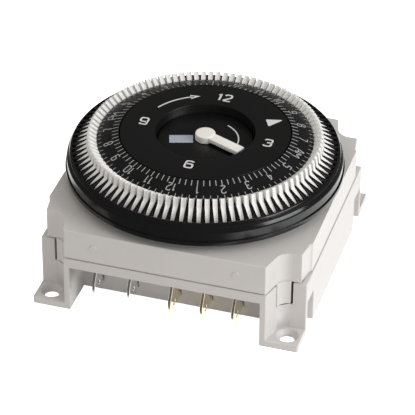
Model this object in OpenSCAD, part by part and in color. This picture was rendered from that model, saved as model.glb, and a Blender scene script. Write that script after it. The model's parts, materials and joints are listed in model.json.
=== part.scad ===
// Segment time switch: a 24-hour dial with a ring of trippers on a square panel housing,
// quick-connect blades in a recess of the front edge, and the clock movement inside.
// Millimetres. Origin: centre of the mounting face. +X along the terminal edge, +Z up the dial axis.

/* [Housing] */
// Width of the housing along the terminal edge
body_w = 71.6; // [71:0.1:90]
// Depth of the housing across the terminal edge
body_d = 72; // [71:0.5:90]
// Height of the cover's top face above the mounting face
cover_top = 24.9; // [24.9:0.1:32]
// Height of the seam between base and cover
seam_z = 16; // [15.9:0.1:17]
// Wall thickness of base and cover
wall = 1.6; // [1.2:0.1:2]
// Thickness of the cover's top plate
cover_t = 1.6; // [1.2:0.1:2]
// Thickness of the base floor
floor_t = 2; // [1.5:0.1:2.2]
// How far the cover's sides stand back from the base's sides
cover_inset = 0.3; // [0:0.05:0.5]
// Width of the notch in each corner, along X
notch_w = 8.7; // [7.8:0.1:9]
// Depth of the notch in each corner, along Y
notch_d = 7.6; // [7.4:0.1:9]
// Thickness of the foot plate in each notch
foot_t = 2; // [1.5:0.1:3]
// Distance of a mounting hole's centre from the housing's side
hole_in_x = 3.8; // [3.6:0.1:4.2]
// Distance of a mounting hole's centre from the housing's front or back
hole_in_y = 4; // [3.6:0.1:4.2]
// Radius of the mounting holes
mount_r = 1.9; // [1.5:0.1:2.2]
// Radius of the countersink for a mounting screw's head
sink_r = 2.85; // [2.5:0.05:3]
// Depth of that countersink
sink_t = 1.2; // [0.5:0.1:1.3]
// How far each snap tongue's window reaches below the seam
latch_h = 6.7; // [4:0.1:8]
// Gap round each snap tongue
latch_gap = 0.2; // [0.1:0.05:0.3]

/* [Terminals] */
// Width of the terminal recess
recess_w = 51; // [48:0.5:52]
// Depth of the terminal recess
recess_d = 11; // [11:0.1:11.4]
// Height of the terminal recess
recess_h = 13.3; // [12.5:0.1:13.5]
// Thickness of the recess ceiling
ceiling_t = 1.5; // [1:0.1:2]
// Thickness of a connecting blade
blade_t = 0.8; // [0.6:0.05:1]
// Width of a connecting blade
blade_w = 6.3; // [5:0.1:6.3]
// Height of the blade tips above the mounting face
blade_tip = 0.8; // [0.3:0.1:2]
// Setback of the two supply blades from the front face
supply_set = 4; // [3:0.1:4.4]
// Setback of the three switch blades from the front face
switch_set = 2; // [1.5:0.1:2.4]
// Clearance round a blade in its slot
slot_gap = 0.05; // [0.02:0.01:0.1]

/* [Dial] */
// Radius of the still clock face
face_r = 22.3; // [20:0.1:22.3]
// Height of the clock face
face_z = 38.1; // [38.1:0.1:45]
// Thickness of the clock face
face_t = 1.2; // [0.8:0.1:1.4]
// Radius of the dish in the clock face
dish_r = 13.1; // [12:0.1:15]
// Radius of the hour disc
hour_disc_r = 12.4; // [9:0.1:12.4]
// Outer radius of the number ring
ring_r = 28.2; // [27.6:0.1:28.4]
// Radius of the programme wheel's outer wall
rim_r = 35.5; // [35.3:0.1:35.8]
// Radius of the programme wheel's flange
flange_r = 36.67; // [36:0.1:38]
// Thickness of the flange
flange_t = 1.4; // [1:0.1:1.6]
// Gap between the cover and the flange
flange_gap = 2.4; // [2.2:0.1:2.6]
// Number of trippers
tripper_count = 96; // [48:24:96]
// Thickness of a tripper
tripper_t = 1.2; // [0.9:0.05:1.2]
// Side clearance of a tripper in its slot
tripper_gap = 0.1; // [0.05:0.01:0.15]
// Radius of the ring wire that the trippers turn on
wire_r = 0.4; // [0.3:0.05:0.5]
// Turn of the dial at rest
dial_phase = -2.7; // [-7:0.1:7]
// Length of the minute hand from its axis
hand_l = 12; // [9:0.1:12.2]
// Width of the minute hand
hand_w = 3; // [2:0.1:3.5]
// Direction of the minute hand at rest
hand_angle = -23; // [-180:1:180]

/* [Movement] */
// Radius of the motor can
can_r = 22; // [21.5:0.1:22.3]
// Height of the motor can without its lid
can_h = 7.8; // [7.4:0.1:7.9]
// Sheet thickness of the motor can and its lid
sheet_t = 0.8; // [0.5:0.1:0.9]
// Radius of the rotor magnet
rotor_r = 6.9; // [5:0.1:7]
// Poles on each half of the stator
pole_count = 12; // [6:1:12]
// Tooth module of the reduction gears
train_m = 0.25; // [0.24:0.01:0.25]
// Tooth module of the motion work
motion_m = 0.72; // [0.7:0.01:0.72]
// Face width of a reduction gear
train_face = 1.05; // [0.8:0.05:1.1]
// Thickness of the movement plate
plate_t = 1.2; // [1:0.1:1.3]
// Radial clearance of shafts in their bearings
fit = 0.05; // [0.03:0.01:0.08]
// Radius of the reduction gears' pivots
pivot_r = 0.5; // [0.4:0.05:0.6]
// Radius of the minute arbor
arbor_r = 1.5; // [1.2:0.05:1.6]
// Outer radius of the hour pipe
pipe_r = 3; // [2.8:0.1:3.2]
// Outer radius of the bearing tube
tube_r = 6; // [5:0.1:6.4]
// Direction of the intermediate arbor from the dial axis
arbor_angle = 135; // [125:1:150]

/* [Hidden] */
$fn = 64;
e = 1;
ceiling_top = recess_h + ceiling_t;
strip_y = -body_d / 2 + recess_d;
plate_under = cover_top - cover_t;
half_w = body_w / 2;
half_d = body_d / 2;
// A corner's mounting hole, and the round of the notch about it
hole_x = half_w - hole_in_x;
hole_y = half_d - hole_in_y;
notch_r = notch_d - hole_in_y;
// A latch window ends past the hole's centre, with a slot beside the tongue
latch_past = 0.2;
latch_slot = 0.6;
latch_back = 0.9;
// The tongue stands out of the notch wall and has a shoulder above the seam
latch_out = 0.2;
latch_rise = 0.5;
// Shallow scoop in the cover's long sides: its depths at the notch and at the far end
scoop_depth = 1.6;
scoop_end = 0.9;
scoop_l = 4.7;
scoop_r = 1.1;
// Shadow groove round the cover's lower edge
groove_h = 0.3;
groove_d = 0.4;
// Finger grip in the base's long sides next to the notches
grip_depth = 1.4;
grip_r = 7;
grip_z = 5.5;
grip_l = 6.1;
grip_set = 1.2;
// Low rim on the floor that centres the motor can
can_rim_w = 0.9;
can_rim_h = 1;
// Small round marks on the cover's front
mark_x = 19;
mark_r = 0.9;
mark_t = 0.2;
mark_z = (seam_z + cover_top) / 2 + 0.35;

// Dial heights all hang from the cover's top face
hub_z = cover_top + 0.3;
dial_gear_z = cover_top + 0.5;
dial_gear_face = 1.6;
flange_z = cover_top + flange_gap;
web_z = cover_top + 6.7;
web_top = cover_top + 8.1;
rim_top = cover_top + 8.5;
rim_chamfer = 0.3;
// The wheel's outer wall is upright at its foot, just inside the flange, and leans in above that
skirt_in = 0.37;
skirt_h = 2.5;
drum_top = cover_top + 10.3;
rib_top = cover_top + 10;
wire_z = cover_top + 8.1;
foot_z = cover_top + 1.1;
drum_r0 = ring_r - 1.4;
inner_wall_r = face_r + 0.4;
inner_wall_t = 1.2;
inner_wall_top = cover_top + 11.3;
ring_inner_r = face_r + 0.25;
ring_low_z = cover_top + 11.2;
wire_ring_r = ring_r + 3.4;
slot_r0 = ring_r + 0.1;
slot_r1 = rim_r - 0.75;
slot_w = tripper_t + 2 * tripper_gap;
tripper_step = 360 / tripper_count;
hub_top = cover_top + 8.8;
face_web_z = cover_top + 9;
face_web_top = cover_top + 9.7;
dish_wall = 1.2;
dish_draft = 0.45;
hour_disc_z = cover_top + 10;
hour_disc_t = 0.8;
hand_z = cover_top + 11.4;
hand_t = 1.2;
boss_w = 1.8;
hand_hub_r = 2.65;
hand_hub_z = cover_top + 10.9;
hand_hub_top = cover_top + 12.85;
spigot_r = tube_r - 1.8;
tube_flange_w = 2.5;
tube_flange_t = 1;
hub_w = 2;

// Tripper outline in its radial plane, measured from the ring wire
tripper_outline = [
    [-3.1, 3.1], [-1.4, 4.5], [-1.05, 4.35], [-0.7, 1.95], [1.9, 0.15], [2.6, -0.55], [2.4, -1],
    [0.7, -0.8], [0.5, foot_z - wire_z], [-0.6, foot_z - wire_z], [-0.7, -0.5], [-1.5, 1.5], [-3.1, 2.5]
];
tripper_head = [
    [-3.1, 3.1], [-1.4, 4.5], [-1.05, 4.35], [-0.72, 2.1], [-2.2, 2.1], [-3.1, 2.5]
];
head_extra = 0.15;
// The trippers that have a node of their own, as places round the dial
single_share = [8, 16, 36, 44, 60, 68, 84, 92];
singles = [for (s = single_share) round(s * tripper_count / 96)];
rest = [for (i = [0:tripper_count - 1]) if (len(search(i, singles)) == 0) i];

// Movement levels
can_top = floor_t + can_h;
lid_top = can_top + sheet_t;
level_a = lid_top + 0.2;
level_step = train_face + 0.15;
level_b = level_a + level_step;
level_c = level_b + level_step;
plate_z = level_c + train_face + 0.35;
plate_top = plate_z + plate_t;
centre_z = plate_top + 0.25;
centre_face = 0.95;
centre_top = centre_z + centre_face;
cannon_z = centre_top + 0.5;
cannon_face = 1.5;
hour_z = cannon_z + cannon_face + 0.6;
hour_face = 1.3;
pinion_teeth = 8;
wheel_teeth = 80;
third_teeth = 100;
centre_teeth = 96;
cannon_teeth = 10;
minute_teeth = 30;
hour_teeth = 32;
dial_teeth = 64;
arbor_d = motion_m * (pinion_teeth + hour_teeth) / 2;
dial_m = 2 * arbor_d / (pinion_teeth + dial_teeth);
arbor_p = arbor_d * [cos(arbor_angle), sin(arbor_angle)];
mesh_wheel = train_m * (pinion_teeth + wheel_teeth) / 2;
mesh_third = train_m * (pinion_teeth + third_teeth) / 2;
// The centre wheel's teeth pass clear of the intermediate arbor
arbor_body_r = 1.6;
arbor_gap = 0.56;
centre_m = (arbor_d - arbor_body_r - arbor_gap) / (centre_teeth / 2 + 0.95);
mesh_centre = centre_m * (pinion_teeth + centre_teeth) / 2;
// Collar of a reduction gear, which runs through the plate on the third one
collar_r = train_m * 2.6;
first_angle = -20;
third_angle = 95;
first_p = mesh_wheel * [cos(first_angle), sin(first_angle)];
third_p = mesh_centre * [cos(third_angle), sin(third_angle)];
second_p = meeting(first_p, mesh_wheel, third_p, mesh_third);
journal_r = 2;
plate_w = 60;
plate_d = 44;
plate_y = 1;
pillar_dx = 53;
pillar_dy = 35;
pillar_r = 2.4;
post_angles = [160, 225, 290];
post_r = 1.4;
post_ring_r = can_r - 2;
// Every pinion has a tooth along +X; the gear that it drives is turned to mesh with it
dial_gear_phase = mesh_phase(arbor_angle + 180, 0, pinion_teeth, dial_teeth);
phase_1 = mesh_phase(direction([0, 0], first_p), 0, pinion_teeth, wheel_teeth);
phase_2 = mesh_phase(direction(first_p, second_p), 0, pinion_teeth, wheel_teeth);
phase_3 = mesh_phase(direction(second_p, third_p), 0, pinion_teeth, third_teeth);
phase_4 = mesh_phase(direction(third_p, [0, 0]), 0, pinion_teeth, centre_teeth);
bobbin_z = floor_t + sheet_t;
bobbin_top = bobbin_z + 5.2;
bobbin_r = can_r - sheet_t - 0.4;
bobbin_t = 0.8;
core_r = rotor_r + 2.2;
claw_l = 4.6;
screw_r = 1.1;
screw_l = 4;
screw_head_r = 2;
screw_head_h = 1.2;
arbor_pivot_r = 0.8;
minute_pivot_r = 1;

// Switch: the blade's hinge, the lever's pivot and the nose, seen from above
terminal_x = [-20.4, -10.9, 0.85, 9.4, 17.8];
supply_y = -half_d + supply_set;
switch_y = -half_d + switch_set;
shoulder_z = 6.8;
neck_z = 11.5;
neck_set = 3;
lug_z = 3;
lug_h = 1.4;
lug_depth = 0.6;
tongue_z = 16.6;
strip_h = 2.2;
leaf_top = cover_top - 4.7;
leaf_t = 0.3;
leaf_y = strip_y + 1;
leaf_l = 12.8;
contact_r = 0.9;
shank_r = 0.6;
contact_x = terminal_x[3] + 12.1;
contact_z = tongue_z + strip_h / 2;
contact_h = 0.7;
rivet_half = 0.35;
strip_t = 0.4;
contact_face = leaf_y - rivet_half - fit;
open_face = leaf_y + 1.3;
lever_z = cover_top - 4;
lever_t = 1.2;
lever_p = [terminal_x[3] + 10.6, leaf_y - 4];
lever_pin_r = 0.8;
lever_eye_r = 1.9;
nose_arm_w = 2.6;
pad_arm_w = 1.6;
pad_p = [terminal_x[3] + 7.6, leaf_y - 0.8];
pad_r = 0.5;
nose_angle = -75;
nose_r = ring_r + 2.35;
nose_t = 1.4;
nose_w = 1.6;
nose_top = flange_z - 0.3;
nose_travel = 2.6;
nose_side = 1;
nose_p = (nose_r - nose_t / 2) * [cos(nose_angle), sin(nose_angle)];

// Point at distance ra from pa and rb from pb, on the right of the way from pa to pb
function meeting(pa, ra, pb, rb) =
    let (way = pb - pa)
    let (d = norm(way))
    let (along = (d * d + ra * ra - rb * rb) / (2 * d))
    let (off = sqrt(ra * ra - along * along))
    pa + along * way / d + off * [way[1], -way[0]] / d;

function direction(pa, pb) = atan2(pb[1] - pa[1], pb[0] - pa[0]);

// Phase of a gear that meshes with another: a gap faces the other gear's tooth
function mesh_phase(theta, phase_a, teeth_a, teeth_b) =
    theta + 180 - (phase_a - theta) * teeth_a / teeth_b + 180 / teeth_b;

// Tooth outline: root, pitch line and tip on both flanks, as shares of one pitch
function gear_outline(m, teeth) =
    let (pitch = m * teeth / 2)
    let (root_half = teeth < 12 ? 0.17 : 0.29)
    let (flank = [[pitch - 1.3 * m, root_half], [pitch, 0.2], [pitch + 0.95 * m, 0.08]])
    let (tooth = concat([for (k = flank) [k[0], -k[1]]], [for (k = [2:-1:0]) flank[k]]))
    let (turn = 360 / teeth)
    [for (i = [0:teeth - 1], k = tooth) k[0] * [cos((i + k[1]) * turn), sin((i + k[1]) * turn)]];

module gear(m, teeth, face, phase) {
    rotate(phase)
        linear_extrude(face)
            polygon(gear_outline(m, teeth));
}

module disc(r, z0, z1) {
    translate([0, 0, z0])
        cylinder(r = r, h = z1 - z0);
}

module ring(r0, r1, z0, z1) {
    difference() {
        disc(r1, z0, z1);
        disc(r0, z0 - e, z1 + e);
    }
}

module each_corner() {
    for (turn = [0, 180]) {
        rotate(turn)
            children();
        rotate(turn)
            mirror([1, 0, 0])
                children();
    }
}

// Notch in the corner at +X +Y, grown by the given inset: round about the mounting hole, with a
// wall tangent to that round out to the front or back
module notch_pocket(grow) {
    r = notch_r + grow;
    x0 = half_w - notch_w - grow;
    reach = norm([hole_x - x0, hole_in_y]);
    turn = 180 - atan2(hole_in_y, hole_x - x0) + acos(r / reach);
    translate([hole_x, hole_y])
        circle(r);
    polygon([
        [x0, half_d + e],
        [x0, half_d],
        [hole_x + r * cos(turn), hole_y + r * sin(turn)],
        [hole_x, hole_y],
        [hole_x, hole_y - r],
        [half_w + e, hole_y - r],
        [half_w + e, half_d + e]
    ]);
}

module footprint(inset) {
    difference() {
        square([body_w - 2 * inset, body_d - 2 * inset], center = true);
        each_corner()
            notch_pocket(inset);
    }
}

// Scoop in a long side next to a notch: a slanted wall that ends in a round
module cover_scoop(inset) {
    r = scoop_r + inset;
    near = [half_w - scoop_depth + scoop_r, half_d - notch_d - cover_inset];
    far = [half_w - scoop_end + scoop_r, near[1] - scoop_l];
    turn = direction(far, near) + 90;
    side = r * [cos(turn), sin(turn)];
    for (p = [near, far])
        translate(p)
            circle(r);
    polygon([near + side, far + side, far, [half_w + e, far[1]], [half_w + e, near[1]], near]);
}

// The cover's outline has a shallow scoop in each long side next to the notches
module cover_outline(inset) {
    difference() {
        footprint(inset + cover_inset);
        each_corner()
            cover_scoop(inset);
    }
}

module rounded_rect(w, d, r) {
    square([w - 2 * r, d], center = true);
    square([w, d - 2 * r], center = true);
    for (x = [-1, 1], y = [-1, 1])
        translate([x * (w / 2 - r), y * (d / 2 - r)])
            circle(r);
}

// Round wire through a list of points
module wire(points, r) {
    for (i = [0:len(points) - 2]) {
        way = points[i + 1] - points[i];
        translate(points[i])
            rotate([0, acos(way[2] / norm(way)), atan2(way[1], way[0])])
                cylinder(r = r, h = norm(way), $fn = 24);
        if (i > 0)
            translate(points[i])
                sphere(r, $fn = 24);
    }
}

module foot_plate() {
    corner_r = 0.5;
    overlap = 0.5;
    side_x = notch_w + overlap;
    side_y = notch_d + overlap;
    translate([half_w - side_x / 2, half_d - side_y / 2])
        linear_extrude(foot_t)
            difference() {
                square([side_x, side_y], center = true);
                translate([side_x / 2 - corner_r, side_y / 2 - corner_r])
                    difference() {
                        square(corner_r + e);
                        circle(corner_r);
                    }
            }
}

// Window in the notch wall, or the tongue that fills it less its gaps
module latch_block(past, back, face, inner, z0, z1) {
    translate([0, 0, z0])
        linear_extrude(z1 - z0)
            intersection() {
                difference() {
                    notch_pocket(inner);
                    notch_pocket(face);
                }
                square([hole_x + past, hole_y - back]);
            }
}

// Finger grip in the long side next to a notch, with a curved upper end
module side_grip() {
    x0 = half_w - grip_depth;
    translate([0, half_d - notch_d - grip_set, 0])
        rotate([90, 0, 0])
            linear_extrude(grip_l) {
                translate([x0, -e])
                    square([grip_depth + e, grip_z + e]);
                intersection() {
                    translate([x0 + grip_r, grip_z])
                        circle(grip_r);
                    translate([x0, grip_z - 0.1])
                        square([grip_depth + e, grip_r]);
                }
            }
}

module base_housing() {
    color([0.72, 0.72, 0.70])
        difference() {
            union() {
                difference() {
                    linear_extrude(seam_z)
                        footprint(0);
                    difference() {
                        translate([0, 0, floor_t])
                            linear_extrude(seam_z)
                                footprint(wall);
                        translate([-recess_w / 2 - wall, -half_d, 0])
                            cube([recess_w + 2 * wall, recess_d + wall, ceiling_top]);
                    }
                }
                each_corner() {
                    foot_plate();
                    translate([half_w - wall - grip_depth, half_d - notch_d - grip_set - grip_l - wall, 0])
                        cube([grip_depth + wall / 2, grip_l + grip_set + wall / 2, grip_z + grip_r]);
                }
                ring(can_r + fit, can_r + fit + can_rim_w, floor_t - can_rim_h / 2, floor_t + can_rim_h);
            }
            translate([-recess_w / 2, -half_d - e, -e])
                cube([recess_w, recess_d + e, recess_h + e]);
            each_corner() {
                translate([hole_x, hole_y, -e])
                    cylinder(r = mount_r, h = foot_t + 2 * e);
                translate([hole_x, hole_y, foot_t - sink_t])
                    cylinder(r1 = mount_r, r2 = sink_r, h = sink_t);
                latch_block(latch_past, latch_back, -e, wall + latch_gap, seam_z - latch_h, seam_z + e);
                side_grip();
            }
            for (i = [0:4])
                terminal_slot(i);
        }
}

// Slot through the recess ceiling and the pocket for the locating lug behind it
module terminal_slot(i) {
    front = i < 2 ? supply_y : switch_y;
    w = blade_t + 2 * slot_gap;
    translate([terminal_x[i] - w / 2, front + neck_set - slot_gap, recess_h - e])
        cube([w, blade_w - neck_set + 2 * slot_gap, ceiling_t + 2 * e]);
    translate([terminal_x[i] - w / 2, strip_y - e, lug_z - slot_gap])
        cube([w, lug_depth + slot_gap + e, lug_h + 2 * slot_gap]);
}

module front_cover() {
    color([0.80, 0.80, 0.78])
        difference() {
            union() {
                difference() {
                    union() {
                        translate([0, 0, seam_z])
                            linear_extrude(groove_h + e)
                                cover_outline(groove_d);
                        translate([0, 0, seam_z + groove_h])
                            linear_extrude(cover_top - seam_z - groove_h)
                                cover_outline(0);
                    }
                    translate([0, 0, seam_z - e])
                        linear_extrude(plate_under - seam_z + e)
                            cover_outline(wall);
                }
                each_corner()
                    latch_block(
                        latch_past - latch_slot,
                        latch_back + latch_gap,
                        -latch_out,
                        wall - 0.1,
                        seam_z - latch_h + latch_gap,
                        seam_z + latch_rise
                    );
                ring(tube_r, tube_r + boss_w, plate_under, hub_z - fit);
                for (x = [-mark_x, mark_x])
                    translate([x, cover_inset - half_d, mark_z])
                        rotate([90, 0, 0])
                            cylinder(r = mark_r, h = mark_t);
            }
            disc(tube_r, plate_under - e, hub_z + e);
            translate([arbor_p[0], arbor_p[1], plate_under - e])
                cylinder(r = journal_r + fit, h = cover_t + 2 * e);
            rotate(nose_angle)
                translate([nose_r - nose_t - nose_travel, -nose_w / 2 - nose_side, plate_under - e])
                    cube([nose_t + nose_travel + 0.6, nose_w + 2 * nose_side, cover_t + 2 * e]);
        }
}

module bearing_tube() {
    color([0.75, 0.76, 0.77])
        difference() {
            union() {
                disc(tube_r, plate_under - e, face_web_z);
                disc(tube_r + tube_flange_w, plate_under - tube_flange_t, plate_under);
                disc(spigot_r, face_web_z - e, face_web_top);
            }
            disc(pipe_r + fit, plate_under - 2 * e, face_web_top + e);
        }
}

module clock_face() {
    color([0.13, 0.13, 0.14])
        rotate_extrude($fn = 128)
            polygon([
                [spigot_r, face_web_z], [dish_r + dish_wall - dish_draft, face_web_z],
                [dish_r + dish_wall, face_z - face_t], [face_r, face_z - face_t], [face_r, face_z],
                [dish_r, face_z], [dish_r - dish_draft, face_web_top], [spigot_r, face_web_top]
            ]);
}

// Blade in the YZ plane: tapered tip, wide tab, slanted shoulder, neck through the ceiling, rear lug
module blade(i, top) {
    front = i < 2 ? supply_y : switch_y;
    back = front + blade_w;
    taper_y = 1.1;
    taper_z = 1.4;
    hole_r = 0.8;
    hole_z = blade_tip + 4;
    translate([terminal_x[i] - blade_t / 2, 0, 0])
        rotate([90, 0, 90])
            difference() {
                linear_extrude(blade_t)
                    polygon([
                        [front + taper_y, blade_tip], [back - taper_y, blade_tip],
                        [back, blade_tip + taper_z],
                        [back, lug_z], [strip_y + lug_depth, lug_z], [strip_y + lug_depth, lug_z + lug_h],
                        [back, lug_z + lug_h], [back, top], [front + neck_set, top],
                        [front + neck_set, neck_z], [front, shoulder_z], [front, blade_tip + taper_z]
                    ]);
                translate([front + blade_w / 2, hole_z, -e])
                    cylinder(r = hole_r, h = blade_t + 2 * e);
            }
}

// Tongue that carries a switch terminal back to the given Y
module tongue(i, back, h) {
    translate([terminal_x[i] - blade_t / 2, switch_y + neck_set, tongue_z])
        cube([blade_t, back - switch_y - neck_set, h]);
}

// Strip along X that carries a contact
module strip(i, y) {
    translate([terminal_x[i] - blade_t / 2, y, tongue_z])
        cube([contact_x + contact_r - terminal_x[i] + blade_t / 2, strip_t, strip_h]);
}

module terminal_supply(i) {
    color([0.78, 0.78, 0.80])
        blade(i, tongue_z - 0.1);
}

module terminal_open() {
    color([0.80, 0.62, 0.30]) {
        blade(2, tongue_z + strip_h);
        tongue(2, open_face + contact_h + strip_t, strip_h);
        strip(2, open_face + contact_h);
    }
}

module terminal_common() {
    color([0.80, 0.62, 0.30]) {
        blade(3, leaf_top);
        tongue(3, leaf_y - 0.25, leaf_top - tongue_z);
    }
}

module terminal_closed() {
    color([0.80, 0.62, 0.30]) {
        blade(4, tongue_z + strip_h);
        tongue(4, contact_face - contact_h, strip_h);
        strip(4, contact_face - contact_h - strip_t);
    }
}

module contact_rivet(y0, y1, r = contact_r) {
    translate([contact_x, y1, contact_z])
        rotate([90, 0, 0])
            cylinder(r = r, h = y1 - y0);
}

module contact_open() {
    color([0.85, 0.85, 0.86])
        contact_rivet(open_face, open_face + contact_h);
}

module contact_closed() {
    color([0.85, 0.85, 0.86])
        contact_rivet(contact_face - contact_h, contact_face);
}

module movement_plate() {
    color([0.78, 0.66, 0.38])
        translate([0, 0, plate_z])
            difference() {
                translate([0, plate_y])
                    linear_extrude(plate_t)
                        rounded_rect(plate_w, plate_d, 4);
                for (p = [first_p, second_p])
                    translate([p[0], p[1], -e])
                        cylinder(r = pivot_r + fit, h = plate_t + 2 * e);
                translate([third_p[0], third_p[1], -e])
                    cylinder(r = collar_r + fit, h = plate_t + 2 * e);
                translate([arbor_p[0], arbor_p[1], -e])
                    cylinder(r = arbor_pivot_r + fit, h = plate_t + 2 * e);
                translate([0, 0, -e])
                    cylinder(r = minute_pivot_r + fit, h = plate_t + 2 * e);
                at_pillars()
                    translate([0, 0, -e])
                        cylinder(r = screw_r, h = plate_t + 2 * e);
            }
}

module at_pillars() {
    for (x = [-1, 1], y = [-1, 1])
        translate([x * pillar_dx / 2, plate_y + y * pillar_dy / 2, 0])
            children();
}

module plate_pillars() {
    color([0.70, 0.70, 0.72])
        at_pillars()
            difference() {
                disc(pillar_r, floor_t, plate_z);
                disc(screw_r, plate_z - screw_l - 1, plate_z + e);
            }
}

module plate_screws() {
    color([0.66, 0.67, 0.69])
        at_pillars()
            difference() {
                union() {
                    disc(screw_r, plate_z - screw_l, plate_top);
                    disc(screw_head_r, plate_top, plate_top + screw_head_h);
                }
                translate([-screw_head_r - e, -0.3, plate_top + 0.7])
                    cube([2 * (screw_head_r + e), 0.6, screw_head_h]);
            }
}

module motor_can() {
    color([0.62, 0.63, 0.65])
        difference() {
            disc(can_r, floor_t, can_top);
            disc(can_r - sheet_t, floor_t + sheet_t, can_top + e);
            disc(pivot_r + fit, floor_t - e, floor_t + 2 * e);
        }
}

module motor_lid() {
    color([0.66, 0.67, 0.69])
        difference() {
            disc(can_r, can_top, lid_top);
            disc(pivot_r + fit, can_top - e, lid_top + e);
            for (p = [first_p, second_p, third_p])
                translate([p[0], p[1], can_top - e])
                    cylinder(r = pivot_r + fit, h = sheet_t + 2 * e);
        }
}

module motor_posts() {
    color([0.70, 0.70, 0.72])
        for (a = post_angles)
            rotate(a)
                translate([post_ring_r, 0, 0])
                    disc(post_r, lid_top, plate_z);
}

module coil_bobbin() {
    color([0.90, 0.88, 0.80]) {
        ring(core_r, core_r + bobbin_t, bobbin_z, bobbin_top);
        ring(core_r, bobbin_r, bobbin_z, bobbin_z + bobbin_t);
        ring(core_r, bobbin_r, bobbin_top - bobbin_t, bobbin_top);
    }
}

module coil_winding() {
    color([0.72, 0.38, 0.20])
        ring(core_r + bobbin_t, bobbin_r - bobbin_t, bobbin_z + bobbin_t, bobbin_top - bobbin_t);
}

module coil_leads() {
    lead_r = 0.35;
    lead_y = strip_y + wall + 1.1;
    lead_top = tongue_z - 1;
    lead_z = bobbin_top + 0.2;
    color([0.70, 0.15, 0.12])
        for (i = [0, 1]) {
            x = terminal_x[i];
            near = (can_r + lead_r + 0.1) * [x, i == 0 ? x : lead_y] / norm([x, i == 0 ? x : lead_y]);
            wire([
                [x, supply_y + blade_w, lead_top], [x, lead_y, lead_top],
                [x, lead_y, lead_z], [near[0], near[1], lead_z]
            ], lead_r);
        }
}

// Half of the stator: a ring on the can or the lid with a claw between each two of the other half
module stator_half(ring_z, claw_z, claw_h, turn) {
    claw_r = rotor_r + 0.7;
    claw_t = 0.7;
    claw_w = 1.5;
    ring(claw_r, claw_r + 1.1, ring_z, ring_z + 0.5);
    for (i = [0:pole_count - 1])
        rotate(turn + i * 360 / pole_count)
            translate([claw_r, -claw_w / 2, claw_z])
                cube([claw_t, claw_w, claw_h]);
}

module stator_lower() {
    color([0.60, 0.61, 0.63])
        stator_half(bobbin_z, bobbin_z + 0.2, claw_l, 0);
}

module stator_upper() {
    color([0.60, 0.61, 0.63])
        stator_half(can_top - 0.5, can_top - 0.2 - claw_l, claw_l, 180 / pole_count);
}

module lever_pin() {
    color([0.75, 0.76, 0.77])
        translate([lever_p[0], lever_p[1], 0]) {
            disc(lever_pin_r, lever_z - 0.2, plate_under);
            disc(1.5, lever_z - 0.4, lever_z - 0.1);
        }
}

module programme_wheel() {
    color([0.12, 0.12, 0.13])
        difference() {
            union() {
                rotate_extrude($fn = 192)
                    polygon([
                        [tube_r + fit, hub_z], [tube_r + hub_w, hub_z],
                        [tube_r + hub_w, web_z], [drum_r0, web_z],
                        [drum_r0, flange_z], [flange_r, flange_z], [flange_r, flange_z + flange_t],
                        [flange_r - skirt_in, flange_z + flange_t],
                        [flange_r - skirt_in, flange_z + flange_t + skirt_h], [rim_r, rim_top - rim_chamfer],
                        [rim_r - rim_chamfer, rim_top], [slot_r1, rim_top],
                        [wire_ring_r - 0.7, rib_top], [ring_r, rib_top],
                        [ring_r, drum_top], [drum_r0, drum_top], [drum_r0, web_top],
                        [inner_wall_r + inner_wall_t, web_top], [inner_wall_r + inner_wall_t, inner_wall_top],
                        [inner_wall_r, inner_wall_top], [inner_wall_r, web_top], [tube_r + hub_w, web_top],
                        [tube_r + hub_w, hub_top], [tube_r + fit, hub_top]
                    ]);
                translate([0, 0, dial_gear_z])
                    difference() {
                        gear(dial_m, dial_teeth, dial_gear_face, dial_gear_phase);
                        translate([0, 0, -e])
                            cylinder(r = tube_r + 1, h = dial_gear_face + 2 * e);
                    }
            }
            translate([0, 0, flange_z - e])
                linear_extrude(rib_top - flange_z + 2 * e)
                    slots();
            rotate_extrude($fn = 192)
                translate([wire_ring_r, wire_z])
                    circle(wire_r, $fn = 24);
        }
}

module slots() {
    for (i = [0:tripper_count - 1])
        rotate(tripper_angle(i))
            translate([slot_r0, -slot_w / 2])
                square([slot_r1 - slot_r0, slot_w]);
}

function tripper_angle(i) = dial_phase + (i + 0.5) * tripper_step;

module number_ring() {
    color([0.22, 0.22, 0.23])
        rotate_extrude($fn = 192)
            polygon([
                [ring_inner_r, face_z - 0.05], [ring_r, ring_low_z], [ring_r, drum_top], [drum_r0, drum_top],
                [inner_wall_r + inner_wall_t, inner_wall_top], [ring_inner_r, inner_wall_top]
            ]);
}

module tripper_wire() {
    color([0.75, 0.76, 0.77])
        rotate_extrude($fn = 192)
            translate([wire_ring_r, wire_z])
                circle(wire_r, $fn = 24);
}

// One tripper: a flat plate with a broader head, hooked over the ring wire
module tripper(i) {
    rotate(tripper_angle(i))
        translate([wire_ring_r, 0, wire_z])
            rotate([90, 0, 0])
                difference() {
                    union() {
                        translate([0, 0, -tripper_t / 2])
                            linear_extrude(tripper_t)
                                polygon(tripper_outline);
                        translate([0, 0, -tripper_t / 2 - head_extra / 2])
                            linear_extrude(tripper_t + head_extra)
                                polygon(tripper_head);
                    }
                    translate([0, 0, -e])
                        cylinder(r = wire_r + fit, h = 2 * e, $fn = 32);
                }
}

module single_tripper(k) {
    color([0.92, 0.92, 0.91])
        tripper(singles[k]);
}

module trippers() {
    color([0.92, 0.92, 0.91])
        for (i = rest)
            tripper(i);
}

module hour_disc() {
    color([0.14, 0.14, 0.15])
        ring(pipe_r - 0.5, hour_disc_r, hour_disc_z, hour_disc_z + hour_disc_t);
}

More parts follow.
